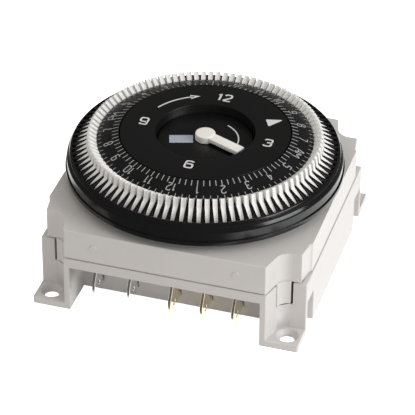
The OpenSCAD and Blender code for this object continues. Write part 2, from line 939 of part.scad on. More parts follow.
module hour_pipe() {
    phase = mesh_phase(arbor_angle + 180, 0, pinion_teeth, hour_teeth);
    color([0.80, 0.66, 0.36])
        difference() {
            union() {
                disc(pipe_r, hour_z, hour_disc_z);
                disc(pipe_r - 0.5, hour_z, hour_disc_z + hour_disc_t);
                translate([0, 0, hour_z])
                    gear(motion_m, hour_teeth, hour_face, phase);
            }
            disc(arbor_r + fit, hour_z - e, hour_disc_z + hour_disc_t + e);
        }
}

module minute_hand() {
    color([0.93, 0.92, 0.88])
        difference() {
            union() {
                disc(hand_hub_r, hand_hub_z, hand_hub_top);
                rotate(hand_angle)
                    translate([0, -hand_w / 2, hand_z])
                        cube([hand_l, hand_w, hand_t]);
            }
            disc(arbor_r, hand_hub_z - e, hand_z + hand_t / 2);
        }
}

module minute_arbor() {
    phase = mesh_phase(arbor_angle + 180, 0, minute_teeth, cannon_teeth);
    color([0.78, 0.66, 0.38]) {
        disc(arbor_r, plate_top + fit, hand_z + hand_t / 2);
        disc(minute_pivot_r, plate_z + fit, plate_top + e);
        translate([0, 0, cannon_z])
            gear(motion_m, cannon_teeth, cannon_face, phase);
    }
}

// Three-armed friction spring between the centre wheel and the cannon pinion
module clutch_spring() {
    spring_t = 0.2;
    arm_w = 1.4;
    arm_l = 6.5;
    foot_r = 0.5;
    color([0.82, 0.70, 0.42])
        difference() {
            union() {
                disc(arbor_r + 1.1, cannon_z - spring_t, cannon_z);
                for (a = [0, 120, 240])
                    rotate(a) {
                        translate([arbor_r + 0.5, -arm_w / 2, cannon_z - spring_t])
                            cube([arm_l - arbor_r - 0.5, arm_w, spring_t]);
                        translate([arm_l - foot_r, 0, 0])
                            disc(foot_r, centre_top + fit, cannon_z);
                    }
            }
            disc(arbor_r, centre_top - e, cannon_z + e);
        }
}

module intermediate_wheel() {
    color([0.86, 0.84, 0.78])
        translate([arbor_p[0], arbor_p[1], 0]) {
            disc(arbor_pivot_r, plate_z + fit, plate_top + e);
            disc(arbor_body_r, plate_top + fit, cannon_z + 0.2);
            translate([0, 0, cannon_z + 0.1])
                gear(motion_m, minute_teeth, cannon_face - 0.2, 0);
            disc(journal_r, cannon_z + 1, hour_z - 0.1);
            translate([0, 0, hour_z - 0.2])
                gear(motion_m, pinion_teeth, hour_face + 0.4, 0);
            disc(arbor_body_r, hour_z + 1, plate_under);
            disc(journal_r, plate_under - 0.1, cover_top + 0.1);
            translate([0, 0, cover_top])
                gear(dial_m, pinion_teeth, dial_gear_z + dial_gear_face - cover_top + 0.1, 0);
        }
}

// Wheel and pinion moulded in one, with a pivot at each end
module reduction_gear(p, teeth, phase, wheel_z, pinion_m, pinion_z, pinion_face, top) {
    color([0.88, 0.87, 0.82])
        translate([p[0], p[1], 0]) {
            disc(pivot_r, can_top + 0.1, top);
            disc(collar_r, lid_top + fit, pinion_z + 0.1);
            translate([0, 0, wheel_z])
                gear(train_m, teeth, train_face, phase);
            translate([0, 0, pinion_z])
                gear(pinion_m, pinion_teeth, pinion_face, 0);
        }
}

module reduction_gear_1() {
    reduction_gear(first_p, wheel_teeth, phase_1, level_a, train_m, level_a + train_face,
        level_step, plate_top - 0.1);
}

module reduction_gear_2() {
    reduction_gear(second_p, wheel_teeth, phase_2, level_b, train_m, level_b + train_face,
        level_step, plate_top - 0.1);
}

module reduction_gear_3() {
    reduction_gear(third_p, third_teeth, phase_3, level_c, centre_m, centre_z - 0.1,
        centre_face + 0.2, centre_top + 0.1);
    color([0.88, 0.87, 0.82])
        translate([third_p[0], third_p[1], 0])
            disc(pivot_r + 0.1, level_c, centre_top);
}

module centre_wheel() {
    color([0.80, 0.66, 0.36])
        difference() {
            translate([0, 0, centre_z])
                gear(centre_m, centre_teeth, centre_face, phase_4);
            disc(arbor_r + fit, centre_z - e, centre_top + e);
        }
}

module rotor_magnet() {
    color([0.25, 0.25, 0.27])
        ring(pivot_r, rotor_r, bobbin_z + 0.8, can_top - 1);
}

module rotor_shaft() {
    color([0.75, 0.76, 0.77]) {
        disc(pivot_r, floor_t + fit, level_a + e);
        translate([0, 0, level_a])
            gear(train_m, pinion_teeth, train_face, 0);
    }
}

module lever_arm(tip, width) {
    reach = norm(tip - lever_p);
    translate([lever_p[0], lever_p[1], lever_z])
        rotate(direction(lever_p, tip)) {
            translate([0, -width / 2, 0])
                cube([reach, width, lever_t]);
            translate([reach, 0, 0])
                cylinder(r = width / 2, h = lever_t);
        }
}

module follower_lever() {
    color([0.86, 0.85, 0.80])
        difference() {
            union() {
                translate([lever_p[0], lever_p[1], lever_z])
                    cylinder(r = lever_eye_r, h = lever_t);
                lever_arm(nose_p, nose_arm_w);
                lever_arm(pad_p, pad_arm_w);
                translate([pad_p[0], pad_p[1], 0])
                    disc(pad_r, leaf_top - 1.1, lever_z + lever_t / 2);
                rotate(nose_angle)
                    translate([nose_r - nose_t, -nose_w / 2, lever_z + lever_t / 2])
                        cube([nose_t, nose_w, nose_top - lever_z - lever_t / 2]);
            }
            translate([lever_p[0], lever_p[1], 0])
                disc(lever_pin_r + fit, lever_z - e, lever_z + lever_t + e);
        }
}

// Torsion spring round the lever's pin: three turns, and a leg on each end
module lever_spring() {
    spring_wire_r = 0.17;
    leg_r = 0.13;
    turn_r = lever_pin_r + 0.45;
    turn_z = lever_z + lever_t + spring_wire_r + 0.02;
    pitch = 2 * spring_wire_r + 0.02;
    color([0.70, 0.71, 0.73])
        translate([lever_p[0], lever_p[1], turn_z]) {
            for (k = [0:2])
                translate([0, 0, k * pitch])
                    rotate_extrude()
                        translate([turn_r, 0])
                            circle(spring_wire_r, $fn = 24);
            translate([0, turn_r, 0])
                rotate([0, -90, 0])
                    cylinder(r = leg_r, h = 6, $fn = 24);
            translate([turn_r, 0, 2 * pitch])
                rotate([90, 0, 0])
                    cylinder(r = leg_r, h = 5, $fn = 24);
        }
}

module switch_leaf() {
    color([0.84, 0.68, 0.36])
        difference() {
            translate([terminal_x[3] - 0.4, leaf_y - leaf_t / 2, tongue_z])
                cube([leaf_l + 0.4, leaf_t, leaf_top - tongue_z]);
            contact_rivet(leaf_y - e, leaf_y + e, shank_r);
        }
}

// Double-headed rivet through the leaf
module leaf_contact() {
    color([0.85, 0.85, 0.86]) {
        contact_rivet(leaf_y - rivet_half, leaf_y - leaf_t / 2);
        contact_rivet(leaf_y - rivet_half, leaf_y + rivet_half, shank_r);
        contact_rivet(leaf_y + leaf_t / 2, leaf_y + rivet_half);
    }
}

base_housing();
front_cover();
bearing_tube();
clock_face();
terminal_supply(0);  // terminal_supply_a
terminal_supply(1);  // terminal_supply_b
terminal_open();
terminal_common();
terminal_closed();
contact_open();
contact_closed();
movement_plate();
plate_pillars();
plate_screws();
motor_can();
motor_lid();
motor_posts();
coil_bobbin();
coil_winding();
coil_leads();
stator_lower();
stator_upper();
lever_pin();
programme_wheel();
number_ring();
tripper_wire();
trippers();
single_tripper(0);  // tripper_1
single_tripper(1);  // tripper_2
single_tripper(2);  // tripper_3
single_tripper(3);  // tripper_4
single_tripper(4);  // tripper_5
single_tripper(5);  // tripper_6
single_tripper(6);  // tripper_7
single_tripper(7);  // tripper_8
hour_disc();
hour_pipe();
minute_hand();
minute_arbor();
clutch_spring();
intermediate_wheel();
reduction_gear_1();
reduction_gear_2();
reduction_gear_3();
centre_wheel();
rotor_magnet();
rotor_shaft();
follower_lever();
lever_spring();
switch_leaf();
leaf_contact();
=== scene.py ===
"""Looks of the segment time switch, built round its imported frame. Metres, +Z up the dial's axis."""
import json
import math

import bmesh
import bpy
import numpy as np
from mathutils import Matrix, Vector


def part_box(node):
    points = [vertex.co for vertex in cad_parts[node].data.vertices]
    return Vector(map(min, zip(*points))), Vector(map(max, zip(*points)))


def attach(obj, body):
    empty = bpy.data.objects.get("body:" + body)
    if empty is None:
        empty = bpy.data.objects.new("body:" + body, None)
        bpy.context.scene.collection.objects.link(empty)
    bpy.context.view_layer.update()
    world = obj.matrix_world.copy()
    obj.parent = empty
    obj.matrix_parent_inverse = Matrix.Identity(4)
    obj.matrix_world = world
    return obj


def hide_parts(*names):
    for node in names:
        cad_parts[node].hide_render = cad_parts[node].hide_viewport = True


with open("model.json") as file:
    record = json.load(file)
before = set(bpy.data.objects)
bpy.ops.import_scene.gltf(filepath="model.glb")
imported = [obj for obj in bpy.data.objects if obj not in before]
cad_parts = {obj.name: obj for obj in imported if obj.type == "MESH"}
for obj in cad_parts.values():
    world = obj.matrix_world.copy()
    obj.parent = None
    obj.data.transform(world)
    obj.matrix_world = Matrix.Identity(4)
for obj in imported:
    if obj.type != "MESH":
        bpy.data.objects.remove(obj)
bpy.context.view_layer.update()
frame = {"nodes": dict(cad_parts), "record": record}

MM = 0.001
TAU = 2 * math.pi


# ---------------------------------------------------------------- shader maths
class Value:
    """A number that varies over a surface: a shader socket with Python's operators."""

    def __init__(self, tree, socket):
        self.tree = tree
        self.socket = socket

    def math(self, operation, other, swapped=False):
        """One Math node on this value and another value or number."""
        node = self.tree.nodes.new("ShaderNodeMath")
        node.operation = operation
        pair = [other, self] if swapped else [self, other]
        for socket, item in zip(node.inputs, pair):
            if isinstance(item, Value):
                self.tree.links.new(item.socket, socket)
            else:
                socket.default_value = item
        return Value(self.tree, node.outputs[0])

    def __add__(self, other):
        return self.math("ADD", other)

    def __radd__(self, other):
        return self.math("ADD", other, swapped=True)

    def __sub__(self, other):
        return self.math("SUBTRACT", other)

    def __rsub__(self, other):
        return self.math("SUBTRACT", other, swapped=True)

    def __mul__(self, other):
        return self.math("MULTIPLY", other)

    def __rmul__(self, other):
        return self.math("MULTIPLY", other, swapped=True)

    def clamp(self):
        """This value held between 0 and 1."""
        return self.math("MAXIMUM", 0.0).math("MINIMUM", 1.0)


class Shading:
    """One shader, and the nodes that feed it."""

    def __init__(self, tree, shader):
        self.tree = tree
        self.shader = shader

    def node(self, kind, settings=None, output=0, sockets=None):
        """Adds one node: its settings first, then a value or a link on each of its sockets."""
        made = self.tree.nodes.new("ShaderNode" + kind)
        for key, setting in (settings or {}).items():
            setattr(made, key, setting)
        for key, item in (sockets or {}).items():
            if isinstance(item, Value):
                self.tree.links.new(item.socket, made.inputs[key])
            else:
                made.inputs[key].default_value = item
        return Value(self.tree, made.outputs[output])

    def feed(self, key, value):
        """Links a varying value to one socket of the shader."""
        self.tree.links.new(value.socket, self.shader.inputs[key])

    def mix(self, share, first, second):
        """Colour between two colours or links, on the sockets that a Mix node has for colours."""
        return self.node("Mix", {"data_type": "RGBA"}, output=2,
                         sockets={0: share, 6: first, 7: second})

    def ray(self, kind):
        """1 for rays of a kind, such as Camera or Glossy, and 0 for all others."""
        return self.node("LightPath", output="Is %s Ray" % kind)


class Finish(Shading):
    """A material being made: a Principled shader and the nodes that feed it."""

    def __init__(self, name, **constants):
        self.material = bpy.data.materials.new(name)
        self.material.use_nodes = True
        tree = self.material.node_tree
        tree.nodes.clear()
        super().__init__(tree, tree.nodes.new("ShaderNodeBsdfPrincipled"))
        output = tree.nodes.new("ShaderNodeOutputMaterial")
        tree.links.new(self.shader.outputs[0], output.inputs["Surface"])
        for key, constant in constants.items():
            self.shader.inputs[key.replace("_", " ").title()].default_value = constant
        self.place = self.node("TexCoord", output="Object")

    def noise(self, size, detail, stretch=(1, 1, 1), shift=0.0):
        """Noise whose lumps are about the given size in metres, stretched along the axes."""
        place = self.node("Mapping", sockets={
            "Vector": self.place,
            "Location": (shift, shift * 0.7, -shift),
            "Scale": tuple(1 / (size * s) for s in stretch)})
        return self.node("TexNoise", sockets={"Vector": place, "Scale": 1.0, "Detail": detail})

    def spread(self, value, low, high):
        """A soft step: 0 below low, 1 above high."""
        return self.node("MapRange", {"interpolation_type": "SMOOTHSTEP"}, sockets={
            "Value": value, "From Min": low, "From Max": high})

    def edge(self, width):
        """1 along outer edges and corners, 0 on flats.

        It is a soft step of 1 less the dot product of the true normal and one rounded by width."""
        rounded_normal = self.node("Bevel", {"samples": 6}, sockets={"Radius": width})
        true_normal = self.node("NewGeometry", output="Normal")
        along = self.node("VectorMath", {"operation": "DOT_PRODUCT"}, output="Value",
                          sockets={0: rounded_normal, 1: true_normal})
        return self.spread(1 - along, low=0.02, high=0.22)

    def bump(self, height, strength, distance):
        """Feeds the shader's normal from a height."""
        self.feed("Normal", self.node("Bump", sockets={
            "Strength": strength, "Distance": distance, "Height": height}))


def shade(colour, factor):
    """A colour made lighter or darker, as RGBA."""
    return tuple(min(1.0, c * factor) for c in colour) + (1.0,)


# Sizes of the patterns on moulded plastic: sink marks, clouds, spark-eroded grain, dust specks
SINK_SIZE, CLOUD_SIZE, GRAIN_SIZE, SPECK_SIZE = 14 * MM, 2.6 * MM, 0.25 * MM, 0.55 * MM
# A speck is darker than a pale plastic and lighter than a dark one
PALE, SPECK_ON_PALE, SPECK_ON_DARK, SPECK_COVER = 0.2, 0.72, 2.4, 0.10
RUBBED_WIDTH, RUBBED_SHADE = 0.35 * MM, 1.35


def moulded(name, colour, roughness, grain_depth=0.012 * MM, mottle=0.05, wear=0.3,
            wear_colour=None):
    """Injection-moulded plastic: fine grain, slow mottling, sink marks, rubbed edges, dust."""
    finish = Finish(name)
    sinks = finish.noise(SINK_SIZE, detail=3)
    cloud = finish.noise(CLOUD_SIZE, detail=4, shift=0.3)
    grain = finish.noise(GRAIN_SIZE, detail=2, shift=0.7)
    specks = finish.spread(finish.noise(SPECK_SIZE, detail=1, shift=1.9), low=0.74, high=0.78)
    rubbed = finish.edge(RUBBED_WIDTH) * finish.spread(cloud, low=0.35, high=0.65)
    blend = (sinks * 0.6 + cloud * 0.4).clamp()
    speck_shade = SPECK_ON_PALE if max(colour) > PALE else SPECK_ON_DARK
    base = finish.mix(blend, shade(colour, 1 - mottle), shade(colour, 1 + mottle))
    base = finish.mix(specks * SPECK_COVER, base, shade(colour, speck_shade))
    base = finish.mix(rubbed * wear, base, wear_colour or shade(colour, RUBBED_SHADE))
    finish.feed("Base Color", base)
    rough = roughness + (grain - 0.5) * 0.16 + (cloud - 0.5) * 0.12 - rubbed * 0.12
    finish.feed("Roughness", rough.clamp())
    finish.bump(grain * 0.7 + cloud * 0.6 + sinks * 1.2, strength=0.55, distance=grain_depth)
    return finish.material


# Sizes of the patterns on stamped sheet: rolling lines, handling marks, tarnish, burnished edges
LINE_SIZE, HANDLED_SIZE, TARNISH_SIZE, BURNISHED_WIDTH = 0.10 * MM, 1.6 * MM, 3.5 * MM, 0.15 * MM
# How far the rolling lines are stretched along each axis, on sheet and on drawn wire
ROLLED, DRAWN = (1, 1, 14), (1, 1, 0.4)


def stamped(name, colour, roughness, tarnish, streak=ROLLED):
    """Stamped and plated sheet: rolling lines, fingerprints and tarnish, bright burnished edges."""
    finish = Finish(name, metallic=1.0)
    lines = finish.noise(LINE_SIZE, detail=3, stretch=streak)
    cloud = finish.noise(HANDLED_SIZE, detail=4, shift=0.5)
    stain = finish.spread(finish.noise(TARNISH_SIZE, detail=4, shift=2.0), low=0.50, high=0.72)
    edge = finish.edge(BURNISHED_WIDTH)
    base = finish.mix(lines, shade(colour, 0.88), shade(colour, 1.10))
    base = finish.mix(stain * 0.55, base, tarnish)
    base = finish.mix(edge * 0.5, base, shade(colour, 1.25))
    finish.feed("Base Color", base)
    rough = roughness + (lines - 0.5) * 0.25 + stain * 0.14 + (cloud - 0.5) * 0.10 - edge * 0.08
    finish.feed("Roughness", rough.clamp())
    finish.bump(lines + cloud * 0.6, strength=0.35, distance=0.006 * MM)
    return finish.material


# Sizes of the patterns in a print: the ink's uneven film and its pinholes
INK_SIZE, PINHOLE_SIZE = 0.35 * MM, 0.16 * MM


def printed(name, colour):
    """Hot-foil or pad print: a thin ink film with pinholes and a slightly uneven cover."""
    finish = Finish(name)
    film = finish.noise(INK_SIZE, detail=3, shift=0.2)
    holes = finish.spread(finish.noise(PINHOLE_SIZE, detail=1, shift=0.9), low=0.70, high=0.80)
    base = finish.mix((film * 0.5 + 0.25).clamp(), shade(colour, 0.90), shade(colour, 1.06))
    base = finish.mix(holes * 0.24, base, shade(colour, 0.35))
    finish.feed("Base Color", base)
    finish.feed("Roughness", (0.42 + (film - 0.5) * 0.3).clamp())
    finish.bump(film, strength=0.4, distance=0.004 * MM)
    return finish.material


# ---------------------------------------------------------------- mesh makers
# Faces that meet at less than this are shaded as one smooth surface
SMOOTH_ANGLE = math.radians(32)
# Points nearer than this are one point, in a new mesh and in a CAD mesh
SAME_POINT, SAME_CAD_POINT = 1e-8, 1e-7


def linked_object(name, data):
    """An object for a mesh, smooth up to SMOOTH_ANGLE, linked to the scene."""
    data.polygons.foreach_set("use_smooth", np.ones(len(data.polygons), bool))
    data.set_sharp_from_angle(angle=SMOOTH_ANGLE)
    made = bpy.data.objects.new(name, data)
    bpy.context.scene.collection.objects.link(made)
    return made


def mesh_object(name, vertices, faces, merge=True):
    """An object from an array of points and a list of faces, with its normals outwards.

    Doubles are merged, unless merge is False."""
    data = bpy.data.meshes.new(name)
    data.from_pydata(np.asarray(vertices, float), [], faces)
    work = bmesh.new()
    work.from_mesh(data)
    if merge:
        bmesh.ops.remove_doubles(work, verts=work.verts, dist=SAME_POINT)
    bmesh.ops.recalc_face_normals(work, faces=work.faces)
    work.to_mesh(data)
    work.free()
    return linked_object(name, data)


def shells_to_object(name, shells):
    """One object from closed shells, each an array of points and a list of faces."""
    vertices, faces, start = [], [], 0
    for points, polygons in shells:
        vertices.append(points)
        faces += [[v + start for v in face] for face in polygons]
        start += len(points)
    return mesh_object(name, np.concatenate(vertices), faces, merge=False)


def grid_faces(rows, columns, wrap_rows=False, wrap_columns=False):
    """Quads of a grid of points, closed round in either direction on request."""
    i = np.arange(rows if wrap_rows else rows - 1)
    j = np.arange(columns if wrap_columns else columns - 1)
    i, j = np.meshgrid(i, j, indexing="ij")
    k, m = (i + 1) % rows, (j + 1) % columns
    quads = [i * columns + j, k * columns + j, k * columns + m, i * columns + m]
    return np.stack(quads, -1).reshape(-1, 4).tolist()


def capped_faces(rows, columns):
    """Faces of a stack of closed outlines: quads between them, and one face at each end."""
    faces = grid_faces(rows, columns, wrap_columns=True)
    faces.append(list(range(columns))[::-1])
    faces.append([(rows - 1) * columns + j for j in range(columns)])
    return faces


# An arc takes at most this share of a side, and none where it would be shorter than this
SIDE_SHARE, SHORTEST_ARC = 0.45, 1e-7


def rounded(points, radius, steps=5, closed=True):
    """A polygon with its corners turned into arcs.

    At each corner the arc touches both sides. It starts radius * tan(half the turn) before the
    corner, or as near as SIDE_SHARE of the shorter side asks. Its points are
    (1 - t)^2 start + 2 t (1 - t) corner + t^2 end, for t from 0 to 1."""
    points = np.asarray(points, float)
    count = len(points)
    radii = np.broadcast_to(np.asarray(radius, float), (count,))
    out = []
    t = np.linspace(0, 1, steps + 1)[:, None]
    for i in range(count):
        here = points[i]
        if not closed and i in (0, count - 1):
            out.append(here[None])
            continue
        back, ahead = points[i - 1] - here, points[(i + 1) % count] - here
        back_l, ahead_l = np.linalg.norm(back), np.linalg.norm(ahead)
        turn = math.pi - math.acos(np.clip(back @ ahead / (back_l * ahead_l), -1, 1))
        reach = min(radii[i] * math.tan(turn / 2), SIDE_SHARE * back_l, SIDE_SHARE * ahead_l)
        if reach < SHORTEST_ARC:
            out.append(here[None])
            continue
        start, end = here + back / back_l * reach, here + ahead / ahead_l * reach
        out.append((1 - t) ** 2 * start + 2 * t * (1 - t) * here + t ** 2 * end)
    return np.concatenate(out)


def turned(profile, segments=256):
    """A closed (r, z) loop carried round the dial axis: (r cos a, r sin a, z)."""
    profile = np.asarray(profile, float)
    a = np.arange(segments) * TAU / segments
    r, z = profile[:, 0][:, None], profile[:, 1][:, None]
    points = np.stack([r * np.cos(a), r * np.sin(a), z + 0 * a], -1)
    faces = grid_faces(len(profile), segments, wrap_rows=True, wrap_columns=True)
    return points.reshape(-1, 3), faces


# The mean normal at a corner is lengthened at most by 1 over this
SHARPEST_MITRE = 0.35


def layered(outline, offsets, heights):
    """Copies of a closed outline, drawn in by each offset, at each height.

    Each point moves by the offset along the mean normal of its two sides, lengthened so that both
    sides move by the offset."""
    outline = np.asarray(outline, float)
    ahead = np.roll(outline, -1, 0) - outline
    ahead /= np.linalg.norm(ahead, axis=1, keepdims=True)
    normal = np.stack([ahead[:, 1], -ahead[:, 0]], -1)
    mean = normal + np.roll(normal, 1, 0)
    mean /= np.maximum(np.sum(mean * normal, 1, keepdims=True), SHARPEST_MITRE)
    return np.stack([np.column_stack([outline - mean * o, np.full(len(outline), h)])
                     for o, h in zip(offsets, heights)])


def quarter_round(edge, steps):
    """A rounded edge: how far it is drawn in, edge * (1 - sin a), and how far it lies below its
    face, edge * (1 - cos a), for a from 0 to 90 degrees."""
    a = np.linspace(0, math.pi / 2, steps + 1)
    return edge * (1 - np.sin(a)), edge * (1 - np.cos(a))


def plate_shell(outline, thickness, edge=0.0, base=0.0, steps=1):
    """A level plate on an outline, with quarter-round edges of radius edge on both faces."""
    drawn_in, up = quarter_round(edge, steps)
    offsets = np.concatenate([drawn_in, drawn_in[::-1]])
    heights = np.concatenate([base + up, base + thickness - up[::-1]])
    layers = layered(outline, offsets, heights)
    return layers.reshape(-1, 3), capped_faces(*layers.shape[:2])


def blade_shell(outline, half, edge, steps):
    """A plate on edge, as (r, across, z) points, with quarter-round edges of radius edge.

    The outline is in (r, z), and half gives half the thickness at its points. Across is
    half(r, z) less the fall of the rounded edge, on one side and then on the other."""
    drawn_in, below = quarter_round(edge, steps)
    offsets = np.concatenate([drawn_in, drawn_in[::-1]])
    below = np.concatenate([below, below[::-1]])
    sides = np.repeat([1.0, -1.0], steps + 1)
    flat = layered(outline, offsets, np.zeros(len(offsets)))
    r, z = flat[:, :, 0], flat[:, :, 1]
    across = sides[:, None] * (half(r, z) - below[:, None])
    return np.stack([r, across, z], -1).reshape(-1, 3), capped_faces(*flat.shape[:2])


def ring_of(name, shell, angles):
    """One object of copies of an (r, across, z) shell, turned to each angle round the dial axis.

    A copy's points are (r cos a - across sin a, r sin a + across cos a, z)."""
    points, faces = shell
    a = np.asarray(angles)[:, None]
    r, across, z = points[None, :, 0], points[None, :, 1], points[None, :, 2]
    c, s = np.cos(a), np.sin(a)
    copies = np.stack([r * c - across * s, r * s + across * c, z + 0 * a], -1)
    return shells_to_object(name, [(copy, faces) for copy in copies])


# ---------------------------------------------------------------- rounded copies of CAD nodes
# Faces that meet at less than FLAT are one face. Edges that turn by more than OUTER are rounded
FLAT, OUTER = math.radians(0.6), math.radians(44)
# Cosine above which two edges run on in one line, and the most that a rounding takes of a step
IN_LINE, STEP_SHARE = 0.8, 0.4


def in_line(edge, other):
    """Whether two edges that meet run on in nearly the same direction."""
    one, two = ((each.verts[1].co - each.verts[0].co).normalized() for each in (edge, other))
    return abs(one.dot(two)) > IN_LINE


def weigh_edges(work, width):
    """Sets how much of width each outer edge is rounded by, as its bevel weight.

    It is all of width, or STEP_SHARE of the shortest edge across it where a step is smaller than
    that. Edges that run on from one another take the smallest weight among them, because a change
    of width there throws a corner far out."""
    weight = work.edges.layers.float.new("bevel_weight_edge")
    runs_on = {}
    for edge in work.edges:
        if len(edge.link_faces) == 2 and edge.calc_face_angle_signed(0) > OUTER:
            met = [other for end in edge.verts for other in end.link_edges if other is not edge]
            across = [other.calc_length() for other in met if not in_line(edge, other)]
            edge[weight] = min([1.0] + [STEP_SHARE * length / width for length in across])
            runs_on[edge] = [other for other in met if in_line(edge, other)]
    changed = True
    while changed:
        changed = False
        for edge, others in runs_on.items():
            smallest = min([edge[weight]] + [other[weight] for other in others if other in runs_on])
            if smallest < edge[weight]:
                edge[weight] = smallest
                changed = True


def softened(node, name, width, segments=3):
    """A copy of a CAD node, merged, with its outer edges rounded and its inside corners crisp."""
    data = frame["nodes"][node].data.copy()
    data.name = name
    work = bmesh.new()
    work.from_mesh(data)
    bmesh.ops.remove_doubles(work, verts=work.verts, dist=SAME_CAD_POINT)
    bmesh.ops.dissolve_limit(work, angle_limit=FLAT, verts=work.verts, edges=work.edges)
    weigh_edges(work, width)
    work.to_mesh(data)
    work.free()
    made = linked_object(name, data)
    bevel = made.modifiers.new("edges", "BEVEL")
    bevel.limit_method = "WEIGHT"
    bevel.width = width
    bevel.segments = segments
    bevel.use_clamp_overlap = False
    made.modifiers.new("normals", "WEIGHTED_NORMAL").keep_sharp = True
    return made


def finish_piece(piece, body, material, slot, *nodes):
    """Gives a piece its material and body, and hides the CAD nodes that it stands for. The slot is
    not used.
    """
    piece.data.materials.clear()
    piece.data.materials.append(material)
    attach(piece, body)
    if nodes:
        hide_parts(*nodes)


# ---------------------------------------------------------------- materials
HOUSING = (0.625, 0.608, 0.592)
COVER = (0.635, 0.618, 0.602)
BLACK = (0.0058, 0.0058, 0.0064)
RING_GREY = (0.0068, 0.0069, 0.0074)
WHITE = (0.85, 0.845, 0.83)
HAND = (0.87, 0.86, 0.82)
WORN_BLACK = (0.03, 0.03, 0.032, 1)
WORN_GREY = (0.05, 0.05, 0.052, 1)

paint = {
    "housing_base": moulded("housing_grey", HOUSING, 0.48),
    "housing_cover": moulded("cover_grey", COVER, 0.46),
    "face_black": moulded("face_black", BLACK, 0.34, mottle=0.15, wear=0.5,
                          grain_depth=0.006 * MM, wear_colour=WORN_BLACK),
    "wheel_black": moulded("rim_black", BLACK, 0.17, mottle=0.15, wear=0.5,
                           grain_depth=0.004 * MM, wear_colour=WORN_BLACK),
    "ring_grey": moulded("number_ring_grey", RING_GREY, 0.45, mottle=0.12, wear=0.5,
                         wear_colour=WORN_GREY),
    "tripper_white": moulded("tripper_white", WHITE, 0.42, wear=0.15, grain_depth=0.008 * MM),
    "hand_white": moulded("hand_white", HAND, 0.40, wear=0.15, grain_depth=0.008 * MM),
    "tinned_blade": stamped("tinned_sheet", (0.93, 0.93, 0.93), 0.07, (0.62, 0.61, 0.59, 1)),
    "brass_blade": stamped("brass_sheet", (0.95, 0.85, 0.68), 0.08, (0.70, 0.53, 0.34, 1)),
    "contact_silver": stamped("contact_silver", (0.82, 0.81, 0.79), 0.22, (0.45, 0.43, 0.40, 1)),
    "turned_steel": stamped("turned_steel", (0.58, 0.58, 0.60), 0.30, (0.30, 0.30, 0.31, 1)),
    "sheet_steel": stamped("plated_sheet", (0.55, 0.56, 0.58), 0.38, (0.34, 0.34, 0.33, 1)),
    "plate_brass": stamped("rolled_brass", (0.74, 0.55, 0.25), 0.30, (0.36, 0.24, 0.11, 1)),
    "gear_plastic": moulded("gear_cream", (0.74, 0.71, 0.62), 0.45),
    "bobbin_plastic": moulded("bobbin_buff", (0.70, 0.64, 0.50), 0.50),
    "copper_wire": stamped("enamelled_wire", (0.55, 0.20, 0.08), 0.32, (0.25, 0.08, 0.04, 1),
                           DRAWN),
    "lead_red": moulded("lead_sleeve", (0.40, 0.03, 0.02), 0.50),
    "magnet_grey": moulded("sintered_magnet", (0.05, 0.05, 0.055), 0.55),
}
ink_light = printed("ink_light_grey", (0.72, 0.73, 0.73))
ink_ring = printed("ink_ring_grey", (0.42, 0.43, 0.44))
ink_blue = printed("ink_blue_grey", (0.42, 0.47, 0.56))

for entry in frame["record"]["subparts"]:
    cad = frame["nodes"][entry["node"]]
    cad.data.materials.clear()
    cad.data.materials.append(paint[entry["material_slot"]])


# ---------------------------------------------------------------- heights and radii, in millimetres
def low_of(node):
    """Lowest corner of a CAD node at rest, in millimetres."""
    return np.array(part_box(node)[0]) / MM


def high_of(node):
    """Highest corner of a CAD node at rest, in millimetres."""
    return np.array(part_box(node)[1]) / MM


# The boss round the bearing tube stands above the cover's top by this
BOSS_RISE = 0.25
# Half thickness of the ring wire on which the trippers turn
WIRE_HALF = 0.4

cover_top = high_of("front_cover")[2] - BOSS_RISE
face_r, face_z = high_of("clock_face")[[0, 2]]
face_web_z = low_of("clock_face")[2]
ring_r, ring_z = high_of("number_ring")[[0, 2]]
flange_r, wheel_top = high_of("programme_wheel")[[0, 2]]
disc_r, disc_top = high_of("hour_disc")[[0, 2]]
disc_low = low_of("hour_disc")[2]
hub_low, hub_top = low_of("minute_hand")[2], high_of("minute_hand")[2]
wire_r = high_of("tripper_wire")[0] - WIRE_HALF
wire_z = high_of("tripper_wire")[2] - WIRE_HALF

TRIPPERS = 96
STEP = TAU / TRIPPERS
# Turn of the dial's first rib and of the minute hand from +X
DIAL_TURN, HAND_TURN = math.radians(-2.7), math.radians(-23)
# Places round the dial of the eight trippers that move by themselves
SINGLES = (8, 16, 36, 44, 60, 68, 84, 92)

# ---------------------------------------------------------------- housing
HOUSING_EDGE, BLADE_EDGE = 0.22 * MM, 0.10 * MM

finish_piece(softened("base_housing", "base_shell", HOUSING_EDGE), "housing",
             paint["housing_base"], "housing_base", "base_housing")
finish_piece(softened("front_cover", "cover_shell", HOUSING_EDGE), "housing",
             paint["housing_cover"], "housing_cover", "front_cover")
for blade, metal in (("supply_a", "tinned_blade"), ("supply_b", "tinned_blade"),
                     ("open", "brass_blade"), ("common", "brass_blade"),
                     ("closed", "brass_blade")):
    finish_piece(softened("terminal_" + blade, "blade_" + blade, BLADE_EDGE, segments=2),
                 "housing", paint[metal], metal, "terminal_" + blade)


# ---------------------------------------------------------------- programme wheel
def lathe(name, profile, radius, body, slot, *nodes, segments=256):
    """A turned piece from an (r, z) profile, and one radius for its corners or one for each.

    Both are in millimetres."""
    points, faces = turned(rounded(np.array(profile) * MM, np.asarray(radius) * MM), segments)
    finish_piece(mesh_object(name, points, faces), body, paint[slot], slot, *nodes)


